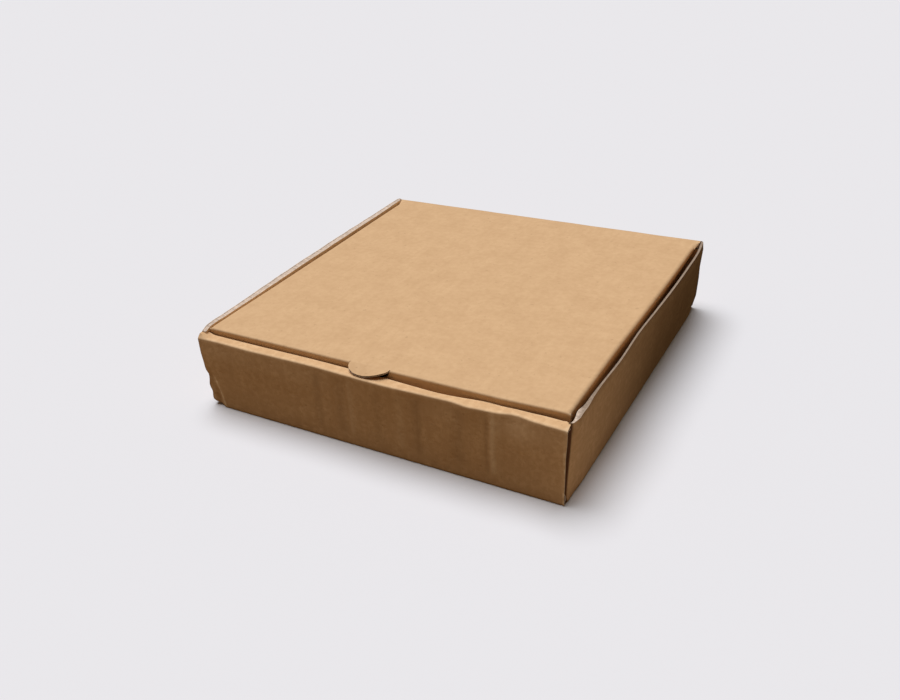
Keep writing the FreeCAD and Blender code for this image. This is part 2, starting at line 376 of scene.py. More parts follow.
def add_camera():
    """The photograph's viewpoint."""
    azimuth = math.radians(CAMERA_AZIMUTH)
    elevation = math.radians(CAMERA_ELEVATION)
    roll = math.radians(CAMERA_ROLL)
    back = Vector((
        math.sin(azimuth) * math.cos(elevation),
        -math.cos(azimuth) * math.cos(elevation),
        math.sin(elevation),
    ))
    level = Vector((0, 0, 1)).cross(back).normalized()
    upright = back.cross(level)
    right = math.cos(roll) * level + math.sin(roll) * upright
    up = -math.sin(roll) * level + math.cos(roll) * upright
    turned = Matrix((right, up, back)).transposed().to_4x4()
    data = bpy.data.cameras.new("camera")
    data.lens = CAMERA_LENS
    data.shift_y = CAMERA_SHIFT_UP
    camera = bpy.data.objects.new("camera", data)
    camera.matrix_world = Matrix.Translation(CAMERA_PLACE) @ turned
    bpy.context.scene.collection.objects.link(camera)
    bpy.context.scene.camera = camera


class FoldLine:
    """Section of folded board. Its outer paper follows corner points, rounded at each,
    and the board lies on the left of that path."""

    def __init__(self, corners, radius):
        points = np.array(corners, float)
        steps = np.diff(points, axis=0)
        lengths = np.linalg.norm(steps, axis=1)
        along = steps / lengths[:, None]
        left = np.stack([-along[:, 1], along[:, 0]], axis=1)
        count = len(lengths)
        turns = [math.acos(np.dot(along[i], along[i + 1])) for i in range(count - 1)]
        trims = [0.0] + [math.tan(turn / 2) for turn in turns] + [0.0]
        self.runs = []
        start = 0.0
        for i in range(count):
            length = lengths[i] - radius * (trims[i] + trims[i + 1])
            self.runs.append({
                "start": start, "straight": True, "origin": points[i],
                "along": along[i], "left": left[i], "offset": radius * trims[i],
                "low": BOARD * trims[i] if i > 0 else -math.inf,
                "high": lengths[i] - BOARD * trims[i + 1] if i < count - 1 else math.inf,
            })
            start += length
            if i == count - 1:
                break
            corner = points[i + 1]
            tangent = corner - along[i] * radius * trims[i + 1]
            self.runs.append({
                "start": start, "straight": False, "centre": tangent + left[i] * radius,
                "along": along[i], "left": left[i], "radius": radius,
                "inner": corner + (left[i] - along[i] * trims[i + 1]) * BOARD,
            })
            start += radius * turns[i]
        self.length = start
        self.starts = np.array([run["start"] for run in self.runs])

    def place(self, s, share):
        """Section points at distances s along the outer paper, and at a share of the
        way through the board."""
        s = np.asarray(s, float)
        share = np.asarray(share, float)[:, None]
        found = np.clip(np.searchsorted(self.starts, s, side="right") - 1, 0, None)
        placed = np.zeros((len(s), 2))
        for index, run in enumerate(self.runs):
            picked = found == index
            if not picked.any():
                continue
            here = s[picked] - run["start"]
            if run["straight"]:
                reach = here + run["offset"]
                outer = run["origin"] + reach[:, None] * run["along"]
                inner_reach = np.clip(reach, run["low"], run["high"])
                inner = run["origin"] + inner_reach[:, None] * run["along"]
                inner = inner + run["left"] * BOARD
            else:
                angle = (here / run["radius"])[:, None]
                round_part = np.sin(angle) * run["along"] - np.cos(angle) * run["left"]
                outer = run["centre"] + run["radius"] * round_part
                inner = np.broadcast_to(run["inner"], outer.shape)
            placed[picked] = outer * (1 - share[picked]) + inner * share[picked]
        return placed

    def lines(self, low, high, spacing):
        """Distances at which a mesh needs rows: every spacing, and finely at each fold."""
        found = set(np.arange(low + spacing, high - spacing / 2, spacing))
        for index, run in enumerate(self.runs):
            if run["straight"]:
                found |= {run["start"] + run[end] - run["offset"] for end in ("low", "high")}
            else:
                found |= set(np.linspace(run["start"], self.starts[index + 1], FOLD_ROWS))
        kept = []
        for value in sorted(v for v in found if low < v < high):
            if not kept or value - kept[-1] > CLOSE_ROWS:
                kept.append(value)
        return kept


def flap_end(fold, lean, drop):
    """The free end of a flap that hangs from a fold and leans inward."""
    return fold - math.sin(lean) * drop, math.cos(lean) * drop


# Sections through the tray from the middle of its base, and through the lid
front_line = FoldLine(
    [(0, 0), (FRONT, 0), (FRONT, STRIP_TOP), (STRIP_INNER, STRIP_TOP), (STRIP_INNER, 0)], FOLD
)
back_line = FoldLine([(0, 0), (BACK, 0), (BACK, LID_TOP), (0, LID_TOP)], FOLD)
back_line.runs[2]["high"] -= FOLD
side_line = FoldLine([(0, 0), (SIDE, 0), (SIDE, SIDE_TOP)], FOLD)
upright_line = FoldLine([(0, 0), (SIDE_END, 0), (SIDE_END, CORNER_FLAP)], UPRIGHT_FOLD)
lid_front_line = FoldLine(
    [(-BACK, 0), (LID_FRONT, 0), flap_end(LID_FRONT, FRONT_FLAP_LEAN, FRONT_FLAP_DROP)], FOLD
)
lid_front_line.runs[0]["low"] = FOLD + BOARD
lid_side_line = FoldLine(
    [(0, 0), (LID_CREST, 0), flap_end(LID_CREST, SIDE_FLAP_LEAN, SIDE_FLAP_DROP)], LID_SIDE_FOLD
)

# Distances along the blank at which folds start
OUTER_FOLD = front_line.runs[3]["start"]
INNER_FOLD = front_line.runs[5]["start"]
CREASE_START = back_line.runs[3]["start"]
CREASE_END = back_line.runs[4]["start"]
LID_TURN = lid_front_line.runs[1]["start"] - BACK
LID_SIDE_TURN = lid_side_line.runs[1]["start"]


def height_on(line, run, height):
    """Distance along a line at which one of its upright runs reaches a height."""
    found = line.runs[run]
    climb = abs(found["along"][1])
    return found["start"] + abs(height - found["origin"][1]) / climb - found["offset"]


def rounded(points):
    """Outline points. A point with a third value is rounded to that radius by a short arc."""
    made = []
    count = len(points)
    for i, point in enumerate(points):
        here = Vector(point[:2])
        if len(point) == 2:
            made.append(here)
            continue
        radius = point[2]
        to_last = (Vector(points[i - 1][:2]) - here).normalized()
        to_next = (Vector(points[(i + 1) % count][:2]) - here).normalized()
        half = to_last.angle(to_next) / 2
        reach = radius / math.tan(half)
        centre = here + (to_last + to_next).normalized() * (radius / math.sin(half))
        start = here + to_last * reach - centre
        turn = math.pi - 2 * half
        way = 1 if to_last.x * to_next.y - to_last.y * to_next.x < 0 else -1
        for step in range(ARC_STEPS + 1):
            angle = way * turn * step / ARC_STEPS
            made.append(centre + Vector((
                start.x * math.cos(angle) - start.y * math.sin(angle),
                start.x * math.sin(angle) + start.y * math.cos(angle),
            )))
    return [tuple(point) for point in made]


def mirrored(points):
    """A right-hand outline from front to back, and its mirror image back to the front."""
    return points + [(-u, v) for u, v in reversed(points)]


def flat_mesh(outline, holes, u_lines, v_lines):
    """Flat points, faces and boundary edges of a sheet cut by grid lines."""
    flat = bmesh.new()
    for loop in [outline] + holes:
        points = [flat.verts.new((u, v, 0)) for u, v in loop]
        for i, point in enumerate(points):
            flat.edges.new((points[i - 1], point))
    bmesh.ops.triangle_fill(flat, use_beauty=True, use_dissolve=False, edges=flat.edges)
    for values, normal in ((u_lines, Vector((1, 0, 0))), (v_lines, Vector((0, 1, 0)))):
        for value in values:
            everything = flat.verts[:] + flat.edges[:] + flat.faces[:]
            bmesh.ops.bisect_plane(
                flat, geom=everything, dist=1e-7, plane_co=normal * value, plane_no=normal
            )
    slanted = []
    for edge in flat.edges:
        run = edge.verts[1].co - edge.verts[0].co
        if len(edge.link_faces) == 2 and min(abs(run.x), abs(run.y)) > 1e-6:
            slanted.append(edge)
    bmesh.ops.dissolve_edges(flat, edges=slanted, use_verts=True, use_face_split=False)
    for face in flat.faces:
        if face.normal.z < 0:
            face.normal_flip()
    flat.verts.index_update()
    points = np.array([vert.co[:2] for vert in flat.verts])
    faces = [[vert.index for vert in face.verts] for face in flat.faces]
    rim = [
        (loop.vert.index, loop.link_loop_next.vert.index)
        for face in flat.faces
        for loop in face.loops
        if len(loop.edge.link_faces) == 1
    ]
    flat.free()
    return points, faces, rim


def inward_steps(points, rim):
    """For each boundary point, the step that moves the boundary one unit into the sheet."""
    steps = {}
    for first, second in rim:
        run = points[second] - points[first]
        run = run / np.linalg.norm(run)
        normal = np.array([-run[1], run[0]])
        for index in (first, second):
            steps.setdefault(index, []).append(normal)
    inward = {}
    for index, normals in steps.items():
        total = sum(normals)
        size = max(np.dot(total, normals[0]), 0.5)
        inward[index] = total / size
    return inward


def groove_depth(u, v):
    """How deep the flutes stand back from a raw edge: deepest where a flute gapes."""
    if GAPING_U[0] < abs(u) < GAPING_U[1] and GAPING_V[0] < v < GAPING_V[1]:
        return GAPING_GROOVE
    wall_top = abs(u) > WALL_TOP_U and abs(v) < SIDE_END
    return SHALLOW_GROOVE if wall_top else EDGE_GROOVE


def flute_ribbons(points, rim, inward):
    """Wavy middle paper that shows along cuts across the flutes, as closed strips."""
    corners = []
    quads = []
    half = FLUTE_PAPER / 2
    for first, second in rim:
        run = points[second] - points[first]
        length = np.linalg.norm(run)
        if abs(run[0]) < 0.5 * length or length < FLUTE_SHORTEST:
            continue
        count = max(2, int(abs(run[0]) / FLUTE_STEP) + 1)
        for step in range(count + 1):
            t = step / count
            place = points[first] * (1 - t) + points[second] * t
            into = inward[first] * (1 - t) + inward[second] * t
            swing = math.sin(2 * math.pi * place[0] / FLUTE_PITCH)
            middle = BOARD / 2 + (BOARD / 2 - LINER - half) * swing
            deep = min(groove_depth(*place), EDGE_GROOVE)
            for reach, way in ((FLUTE_START, -half), (FLUTE_START, half), (1, half), (1, -half)):
                corners.append((*(place + into * (reach * deep)), (middle + way) / BOARD))
            base = len(corners) - 8
            if step == 0:
                continue
            for side in range(4):
                other = (side + 1) % 4
                quads.append([base + side, base + other, base + 4 + other, base + 4 + side])
    return corners, quads


def set_attributes(mesh, blank, wear_and_painted_light):
    """Stores each point's place on the flat blank, how worn its paper is, and how much light or shade is
    painted on it.
    """
    places = mesh.attributes.new("blank", "FLOAT_VECTOR", "POINT")
    places.data.foreach_set("vector", np.asarray(blank, np.float32).ravel())
    amounts = mesh.attributes.new("wear_and_painted_light", "FLOAT", "POINT")
    amounts.data.foreach_set("value", np.asarray(wear_and_painted_light, np.float32))


def folded_board(name, outline, holes, u_lines, v_lines, fold, blank_of):
    """A board sheet with two papers, grooved raw edges and flutes, folded into place."""
    points, faces, rim = flat_mesh(outline, holes, u_lines, v_lines)
    inward = inward_steps(points, rim)
    count = len(points)
    table = [(*point, 0.0) for point in points] + [(*point, 1.0) for point in points]
    polygons = [list(face) for face in faces]
    kinds = [PAPER] * len(faces)
    polygons += [[count + index for index in reversed(face)] for face in faces]
    kinds += [PAPER] * len(faces)
    rings = {}
    outer_share = LINER / BOARD
    for index, into in inward.items():
        place = points[index]
        depth = groove_depth(*place)
        ring = [index]
        for where, share in (
            (place, outer_share), (place + into * depth, outer_share),
            (place + into * depth * GROOVE_SLANT, 1 - outer_share), (place, 1 - outer_share),
        ):
            ring.append(len(table))
            table.append((*where, share))
        ring.append(count + index)
        rings[index] = ring
    for first, second in rim:
        for level, kind in enumerate((CUT_PAPER, CORE, CORE, CORE, CUT_PAPER)):
            polygons.append([
                rings[second][level], rings[first][level],
                rings[first][level + 1], rings[second][level + 1],
            ])
            kinds.append(kind)
    corners, quads = flute_ribbons(points, rim, inward)
    base = len(table)
    table += corners
    polygons += [[base + index for index in quad] for quad in quads]
    kinds += [CORE] * len(quads)
    table = np.array(table)
    places, wear_and_painted_light = fold(table[:, 0], table[:, 1], table[:, 2])
    mesh = bpy.data.meshes.new(name)
    mesh.from_pydata([tuple(place) for place in places], [], polygons)
    mesh.polygons.foreach_set("material_index", kinds)
    set_attributes(mesh, blank_of(table), wear_and_painted_light)
    return finished_piece(name, mesh)


def finished_piece(name, mesh):
    """Cleans a folded mesh, shades it smooth except at sharp edges, and links it."""
    work = bmesh.new()
    work.from_mesh(mesh)
    bmesh.ops.remove_doubles(work, verts=work.verts, dist=MERGED)
    bmesh.ops.dissolve_degenerate(work, dist=MERGED, edges=work.edges)
    bmesh.ops.recalc_face_normals(work, faces=work.faces)
    for face in work.faces:
        face.smooth = True
    for edge in work.edges:
        if len(edge.link_faces) != 2 or edge.calc_face_angle(0) > SHARP:
            edge.smooth = False
    work.to_mesh(mesh)
    work.free()
    piece = bpy.data.objects.new(name, mesh)
    bpy.context.scene.collection.objects.link(piece)
    return piece


def smooth_curve(xs, ys, x):
    """A smooth curve through a few measured points."""
    slot = np.clip(np.searchsorted(xs, x) - 1, 0, len(xs) - 2)
    t = np.clip((x - xs[slot]) / (xs[slot + 1] - xs[slot]), 0, 1)
    slopes = np.gradient(ys, xs)
    width = xs[slot + 1] - xs[slot]
    return (
        (2 * t ** 3 - 3 * t ** 2 + 1) * ys[slot]
        + (t ** 3 - 2 * t ** 2 + t) * width * slopes[slot]
        + (-2 * t ** 3 + 3 * t ** 2) * ys[slot + 1]
        + (t ** 3 - t ** 2) * width * slopes[slot + 1]
    )


def soft(values, low, high):
    """0 below low, 1 above high, and smooth between."""
    t = np.clip((values - low) / (high - low), 0, 1)
    return t * t * (3 - 2 * t)


def ridge(values, half_width):
    """1 at zero, fading smoothly on both sides."""
    return np.exp(-(values / half_width) ** 2)


def bumps(x, y, z, scale, seed):
    """Smooth noise between -1 and 1 at each point. The noises above give its scale and seed."""
    spots = zip(x * scale, y * scale, z * scale + seed)
    return np.array([noise.noise(Vector(spot)) for spot in spots])


def fold_tray(u, v, share):
    """Folds the tray's blank: base, front run, back wall, side walls, corner flaps."""
    across = np.abs(u)
    along = np.abs(v)
    x_sign = np.where(u < 0, -1.0, 1.0)
    y_sign = np.where(v < 0, -1.0, 1.0)
    side = side_line.place(across, share)
    front_run = front_line.place(along, share)
    back_run = back_line.place(along, share)
    run = np.where((v < 0)[:, None], front_run, back_run)
    in_side = (across > FLAP_U) | ((across > BASE_TURN) & (along <= BASE_TURN))
    in_run = ~in_side & (along > BASE_TURN)
    places = np.zeros((len(u), 3))
    places[:, 0] = x_sign * np.where(in_run, across, side[:, 0])
    places[:, 1] = y_sign * run[:, 0]
    places[:, 2] = np.where(in_run, run[:, 1], share * BOARD)
    depth = SIDE - side[:, 0]
    turned = upright_line.place(along, depth / BOARD)
    amount = np.clip(side[:, 1] / FLAP_TURN_HEIGHT, 0, 1)
    corner_y = along * (1 - amount) + turned[:, 0] * amount
    corner_x = SIDE - (depth * (1 - amount) + turned[:, 1] * amount)
    places[in_side, 0] = (x_sign * corner_x)[in_side]
    places[in_side, 1] = (y_sign * corner_y)[in_side]
    places[in_side, 2] = side[in_side, 1]
    return bend_tray(places, v, share, in_side, in_run)


def bend_tray(places, v, share, in_side, in_run):
    """Bows, waves and knocks that the photograph shows, how worn the paper is, and where light and shade
    are painted on it.
    """
    start = places.T.copy()
    front_run = (v < 0) & in_run
    in_front = front_run & (start[1] < FACE_Y)
    distance = np.where(front_run, -v, 0.0)
    wear_and_painted_light = bend_walls(places, start, share, in_side)
    wear_and_painted_light += bend_strip(places, start, distance, front_run)
    wear_and_painted_light += bend_front(places, start, share, in_front)
    wear_and_painted_light += knock_corner(places, start, in_front)
    dent_foot(places, start)
    return places, wear_and_painted_light


def by_side(x, y, right, left):
    """A measure along the walls' tops, which is different on the right and on the left."""
    return np.where(x > 0, smooth_curve(WALL_Y, right, y), smooth_curve(WALL_Y, left, y))


def bend_walls(places, start, share, in_side):
    """The side walls' bow and sag, their rims, darker on the right, worn pale at the top and with painted
    light on the left rim's inner paper, and the split along the right front fold with painted shade over
    it.
    """
    x, y, z = start
    outward = np.sign(x)
    on_right = x > 0
    on_left = x < 0
    rise = np.clip(z / SIDE_TOP, 0, BOW_LIMIT) ** BOW_POWER
    places[:, 0] += outward * by_side(x, y, RIGHT_OUT, LEFT_OUT) * rise * in_side
    rim = soft(z, *WALL_RIM) * in_side
    places[:, 0] += outward * rim * by_side(x, y, RIGHT_OUTER, LEFT_OUTER) * (1 - share)
    places[:, 0] += on_right * rim * share * smooth_curve(WALL_Y, RIGHT_INNER, y)
    places[:, 0] += on_left * rim * share * LEFT_INNER
    sag = by_side(x, y, RIGHT_SAG, LEFT_SAG) * np.clip((z - SAG_FROM) / SAG_OVER, 0, 1)
    places[:, 2] -= sag * in_side
    split_end = np.interp(z, SPLIT_Z, SPLIT_Y)
    split_and_painted_shade = (1 - soft(y - split_end, *SPLIT_BLUR)) * in_side * (x > SPLIT_FROM_X)
    places[:, 0] -= split_and_painted_shade * soft(z, *SPLIT_OPENS) * SPLIT_PULL
    places[:, 2] += bumps(x, y, z, *RIM_NOISE) * RIM_WAVE * rim * on_left
    low_front = (1 - soft(y, *LOW_PULL_Y)) * (1 - soft(z, *LOW_PULL_Z))
    places[:, 0] -= low_front * in_side * on_right * LOW_PULL

    paler_end = RIM_PALER * share * (1 - soft(y, *RIM_PALER_Y))
    # Painted shade over the split along the right front fold, on its paper and its raw edges
    wear_and_painted_light = -SPLIT_PAINTED_SHADE * split_and_painted_shade
    wear_and_painted_light -= RIM_SHADE * rim ** 2 * on_right * soft(y, *RIM_SHADED_Y) * (1 - paler_end)
    # Painted light on the left rim's inner paper, which lies in shade
    wear_and_painted_light += LEFT_RIM_PAINTED_LIGHT * rim * share * on_left
    wear_and_painted_light += TOP_PALE * ridge(z - SIDE_TOP, TOP_PALE_WIDTH) * in_side
    return wear_and_painted_light


def bend_strip(places, start, distance, front_run):
    """The roll-over strip: its wandering folds and its lifted ends."""
    x, y, z = start
    from_outer = distance - OUTER_FOLD - FLAT_FOLD / 2
    from_inner = distance - INNER_FOLD - FLAT_FOLD / 2
    fade = np.where(from_outer < 0, WANDER_BELOW, WANDER_ABOVE)
    places[:, 1] -= smooth_curve(STRIP_X, OUTER_WANDER, x) * ridge(from_outer, fade)
    places[:, 1] -= smooth_curve(STRIP_X, INNER_WANDER, x) * ridge(from_inner, WANDER_INNER)
    on_strip = front_run & (from_outer > 0) & (from_inner < STRIP_PAST)
    left_end = (1 - soft(x, *LEFT_LIFT_X)) * soft(y, *LEFT_LIFT_Y)
    right_end = soft(x, *RIGHT_LIFT_X) * soft(y, *RIGHT_LIFT_Y)
    places[:, 2] += on_strip * (left_end * LEFT_LIFT + right_end * RIGHT_LIFT)
    places[:, 0] -= front_run * (1 - soft(x, *LEFT_END_X)) * soft(z, *LEFT_SPREAD_Z) * LEFT_SPREAD
    wear_and_painted_light = OUTER_FOLD_PALE * ridge(from_outer, FOLD_PALE_WIDTH)
    return wear_and_painted_light + INNER_FOLD_PALE * ridge(from_inner, FOLD_PALE_WIDTH)


def bend_front(places, start, share, in_front):
    """The front panel: torn inner paper at its ends, upright creases, waves and a proud foot."""
    x, y, z = start
    across = np.abs(x)
    limit = TEAR_END - TEAR_DEPTH * soft(z, *TEAR_FROM) * (1 - soft(z, *TEAR_TO))
    torn_back = in_front & (share > TEAR_SHARE) & (across > limit)
    torn_x = np.sign(x) * (limit + (across - limit) * TEAR_SQUEEZE)
    places[:, 0] = np.where(torn_back, torn_x, places[:, 0])
    places[:, 1] += bumps(x, y, z, *PANEL_NOISE) * PANEL_WAVE * in_front * soft(z, *PANEL_WAVE_Z)
    places[:, 1] -= in_front * (1 - soft(z, *FOOT_Z)) * FOOT_FORWARD

    frayed = soft(x, *FRAYED_X) * in_front
    threads = np.clip(bumps(x, y, z, *FRAYED_NOISE) * THREAD_CONTRAST, 0, 1)
    wear_and_painted_light = frayed * (FRAYED_PALE + THREAD_PALE * threads)
    upright = soft(z, *CREASE_FROM) * (1 - soft(z, *CREASE_TO)) * in_front
    sway = CREASE_SWAY * np.sin(z * CREASE_SWAY_RATE)
    for place, half_width, depth, change in FRONT_CREASES:
        here = ridge(x - place - sway, half_width) * upright
        places[:, 1] += here * depth
        # Darker bands are painted shade in the creases
        wear_and_painted_light += here * change
    return wear_and_painted_light


def knock_corner(places, start, in_front):
    """The knocked corner at the front's lower left, with a pale crease across it and painted shade on its
    pushed-in part.
    """
    x, y, z = start
    outside = np.interp(z, CORNER_Z, CORNER_X) - x
    knocked = soft(outside, *KNOCK_BLUR) * (1 - soft(z, *KNOCK_TOP)) * (x < 0) * (y < KNOCK_BACK_Y)
    lumps = bumps(x, y, z, *LUMP_NOISE)
    places[:, 1] += knocked * (1.1 + 0.9 * lumps) * MM
    places[:, 0] += knocked * (0.5 * lumps - 0.2) * MM
    from_tip = np.hypot(x - KNOCK_TIP[0], y - KNOCK_TIP[1])
    crushed = np.clip(1 - from_tip / KNOCK_REACH, 0, 1) ** KNOCK_POWER
    places[:, 2] += crushed * TIP_RAISED * (1 - soft(z, *TIP_RAISED_Z))
    places[:, 0] += crushed * TIP_INWARD * (1 - soft(z, *TIP_INWARD_Z))
    at_end = (1 - soft(x, *LEFT_END_X)) * (1 - soft(y, *LUMP_Y))
    places[:, 0] -= at_end * LUMP_OUT * ridge(z - LUMP_OUT_Z, LUMP_HALF_HEIGHT)
    places[:, 0] += at_end * LUMP_IN * ridge(z - LUMP_IN_Z, LUMP_HALF_HEIGHT)

    flecks = 0.6 + 1.2 * np.clip(bumps(x, y, z, *FLECK_NOISE) + 0.2, 0, 1)
    pale = ridge(outside, PALE_CREASE_WIDTH) * (1 - soft(z, *PALE_CREASE_TOP)) * in_front * (x < 0)
    # Painted shade on the pushed-in part of the corner
    painted_shade_over_knock = knocked * (1 - ridge(outside, KNOCK_SHADE_FROM))
    return PALE_CREASE * flecks * pale - KNOCK_PAINTED_SHADE * painted_shade_over_knock


def dent_foot(places, start):
    """The dented foot at the back right."""
    x, y, z = start
    dented = ridge(np.hypot(x - DENT_X, y - DENT_Y), DENT_REACH) * (1 - soft(z, *DENT_Z))
    places += dented[:, None] * (-DENT_INWARD, -DENT_INWARD, DENT_RAISED)


def tray_outline():
    """The tray's blank, right half from the inner front panel's edge to the back."""
    inner_end = -height_on(front_line, 6, BOARD + LAYER_GAP)
    tongue_end = -height_on(front_line, 6, 0.2 * MM)
    strip_end = SIDE_END - 0.6 * MM
    flap_low = height_on(side_line, 2, BOARD + LAYER_GAP)
    front_flap_top = height_on(side_line, 2, STRIP_TOP - BOARD - LAYER_GAP)
    back_flap_top = height_on(side_line, 2, 50 * MM)
    flap_root = upright_line.runs[2]["start"]
    flap_tip = upright_line.length
    flap_round = 8 * MM
    wall_top = side_line.length
    wall_front_top = height_on(side_line, 2, 54.6 * MM)
    wall_low = SIDE + 0.2 * MM
    taper = 3.5 * MM
    return mirrored(rounded([
        (TONGUE_IN, inner_end), (TONGUE_IN, tongue_end), (TONGUE_OUT, tongue_end), (TONGUE_OUT, inner_end),
        (SIDE_END, inner_end), (strip_end, -INNER_FOLD - 1.0 * MM), (strip_end, -OUTER_FOLD - 8.2 * MM),
        (129.6 * MM, -OUTER_FOLD - 6.0 * MM), (129.9 * MM, -OUTER_FOLD), (129.8 * MM, -BASE_TURN - 42 * MM),
        (129.2 * MM, -BASE_TURN - 34 * MM), (128.6 * MM, -BASE_TURN - 2 * MM), (BASE_TURN, -BASE_TURN),
        (wall_low, -BASE_TURN + 1.5 * MM), (flap_low, -BASE_TURN + 1.5 * MM), (flap_low, -flap_root),
        (flap_low + taper, -flap_tip, flap_round), (front_flap_top - taper, -flap_tip, flap_round),
        (front_flap_top, -flap_root - 1.0 * MM), (front_flap_top, -SIDE_END + 1.2 * MM),
        (wall_front_top, -SIDE_END + 2.6 * MM), (wall_top, -SIDE_END + 8 * MM),
        (wall_top, flap_root - 1.4 * MM), (wall_top - 0.8 * MM, flap_root - 0.4 * MM),
        (back_flap_top + 1.0 * MM, flap_root - 0.2 * MM), (back_flap_top, flap_root),
        (back_flap_top - taper, flap_tip, flap_round), (flap_low + taper, flap_tip, flap_round),
        (flap_low, flap_root), (flap_low, BASE_TURN - 1.5 * MM),
        (wall_low, BASE_TURN - 1.5 * MM), (BASE_TURN, BASE_TURN), (129.8 * MM, BASE_TURN + 2 * MM),
        (CREASE_HALF, BASE_TURN + 26 * MM), (CREASE_HALF, CREASE_START),
    ]))


def tray_slots():
    """The two slots in the base that hold the tongues."""
    low = -(FRONT - 2 * BOARD - 2 * LAYER_GAP + SLOT_SIDE_ROOM)
    high = low + BOARD + SLOT_END_ROOM
    reach = (TONGUE_OUT - TONGUE_IN) / 2 + SLOT_SIDE_ROOM
    middle = (TONGUE_OUT + TONGUE_IN) / 2
    return [
        [(place - reach, low), (place - reach, high), (place + reach, high), (place + reach, low)]
        for place in (-middle, middle)
    ]


def both(values):
    """The same distances on both sides of the middle."""
    return {-value for value in values} | {0.0} | set(values)


def finer(stretches):
    """Grid lines of the stretches where the shape changes quickly."""
    found = set()
    for low, high, step in stretches:
        found |= set(np.arange(low, high, step))
    return found


def make_tray():
    """The tray's board, folded from its blank."""
    columns = both(side_line.lines(0, side_line.length, U_STEP)) | finer(FINE_COLUMNS)
    front_rows = {-value for value in front_line.lines(0, front_line.length, V_STEP)}
    back_rows = set(back_line.lines(0, CREASE_START, V_STEP))
    flap_rows = both(upright_line.lines(SIDE_END - 4 * MM, upright_line.length, V_STEP))
    rows = front_rows | back_rows | flap_rows | finer(FINE_ROWS)

    def blank_of(table):
        return table * (1, 1, BOARD)

    return folded_board(
        "tray_board", tray_outline(), tray_slots(), sorted(columns), sorted(rows), fold_tray, blank_of
    )


def fold_lid(u, v, share):
    """Folds the lid's blank: top panel, front flap, side flaps; the tab stays flat."""
    across = np.abs(u)
    x_sign = np.where(u < 0, -1.0, 1.0)
    side = lid_side_line.place(across, share)
    front = lid_front_line.place(BACK - v, share)
    in_tab = (tab_size(u, v) < 1) & (v < -LID_TURN)
    in_side = (across > LID_SIDE_TURN) & (v >= -LID_TURN) & (v <= LID_FLAP_BACK + 0.1 * MM)
    places = np.zeros((len(u), 3))
    places[:, 0] = x_sign * np.where(in_side, side[:, 0], across)
    places[:, 1] = np.where(in_tab, v, -front[:, 0])
    drop = np.where(in_side, side[:, 1], np.where(in_tab, share * BOARD, front[:, 1]))
    places[:, 2] = LID_TOP - drop
    rim = soft(tab_size(u, v), *TAB_RIM) * in_tab
    return bend_lid(places, share, in_tab, rim)


def bend_lid(places, share, in_tab, rim):
    """The lid's warp, its tab and its widening towards the back, and how worn the paper is."""
    x, y, z = places.T.copy()
    across = np.abs(x)
    reach = np.clip((-LID_TURN - y) / TAB_REACH, 0, 1) * in_tab
    places[:, 2] -= smooth_curve(TAB_X, TAB_DROP, x) * reach ** TAB_DROP_POWER
    places[:, 2] += share * TAB_CRUSH * rim
    below = LID_TOP - BOARD - z
    hanging = (across > HANGING_X) & (y > HANGING_Y) & (below > 0)
    places[:, 0] -= (x < 0) * hanging * below * LEFT_FLAP_SLOPE
    nose = ridge(np.hypot(across - LID_NOSE_X, y - LID_NOSE_Y), LID_NOSE_REACH)
    places[:, 2] -= nose * LID_NOSE_DROP
    places[:, 1] += soft(x, *SHORT_CORNER_X) * (1 - soft(y, *SHORT_CORNER_Y)) * SHORT_CORNER
    free = np.clip((LID_BACK - y) / LID_FREE, 0, 1)
    places[:, 2] += bumps(x, y, x * 0, *WARP_NOISE) * LID_WARP * free
    on_right = 0.6 + 1.4 * soft(y, *RIGHT_WIDENS) - 0.8 * soft(y, *RIGHT_NARROWS)
    on_left = 0.6 + 0.6 * soft(y, *LEFT_WIDENS)
    wider = np.where(x > 0, on_right, on_left) * MM * soft(z, *WIDENING_Z)
    places[:, 0] += wider * x / LID_SIDE
    on_top = z > LID_TOP - FOLD * 1.2
    front_edge = ridge(y + LID_FRONT, FRONT_EDGE_WIDTH) * on_top * ~in_tab
    side_edge = ridge(across - LID_SIDE + 0.5 * MM, SIDE_EDGE_WIDTH) * on_top
    return places, LID_EDGE_PALE * front_edge + LID_EDGE_PALE * side_edge


def lid_outline():
    """The lid's blank, right half from the front flap's edge to the fold at the back."""
    flap_start = lid_front_line.runs[2]["start"] - BACK
    flap_edge = lid_front_line.length - BACK
    side_start = lid_side_line.runs[2]["start"] + 0.5 * MM
    side_edge = lid_side_line.length
    side_front = LID_FRONT - BOARD - 0.6 * MM
    edge = LID_SIDE_TURN + 2.0 * MM
    flap_round = 8 * MM
    right = rounded([
        (0, -flap_edge), (LID_SIDE - 6.6 * MM, -flap_edge, flap_round),
        (LID_SIDE - 0.2 * MM, -flap_start), (LID_SIDE - 0.3 * MM, -LID_TURN - 0.7 * MM),
        (LID_SIDE - 0.2 * MM, -LID_TURN - 0.1 * MM), (edge, -LID_TURN + 0.2 * MM),
        (side_start, -side_front), (side_edge, -side_front + flap_round, flap_round),
        (side_edge, LID_FLAP_BACK - flap_round, flap_round), (side_start, LID_FLAP_BACK),
        (edge + 1.2 * MM, LID_FLAP_BACK + 0.4 * MM), (LID_CORNER, LID_BACK),
    ])
    return mirrored(right[1:])


def tab_size(u, v):
    """0 at the middle of the thumb tab's root and 1 on its outline."""
    power = np.where(u < TAB_SHIFT, TAB_LEFT_POWER, TAB_RIGHT_POWER)
    reach = TAB_REACH + TAB_SLIT / 2
    half = TAB_HALF + TAB_SLIT / 2
    beyond = np.maximum(-LID_TURN - v, 0)
    return (np.abs((u - TAB_SHIFT) / half) ** power + (beyond / reach) ** power) ** (1 / power)


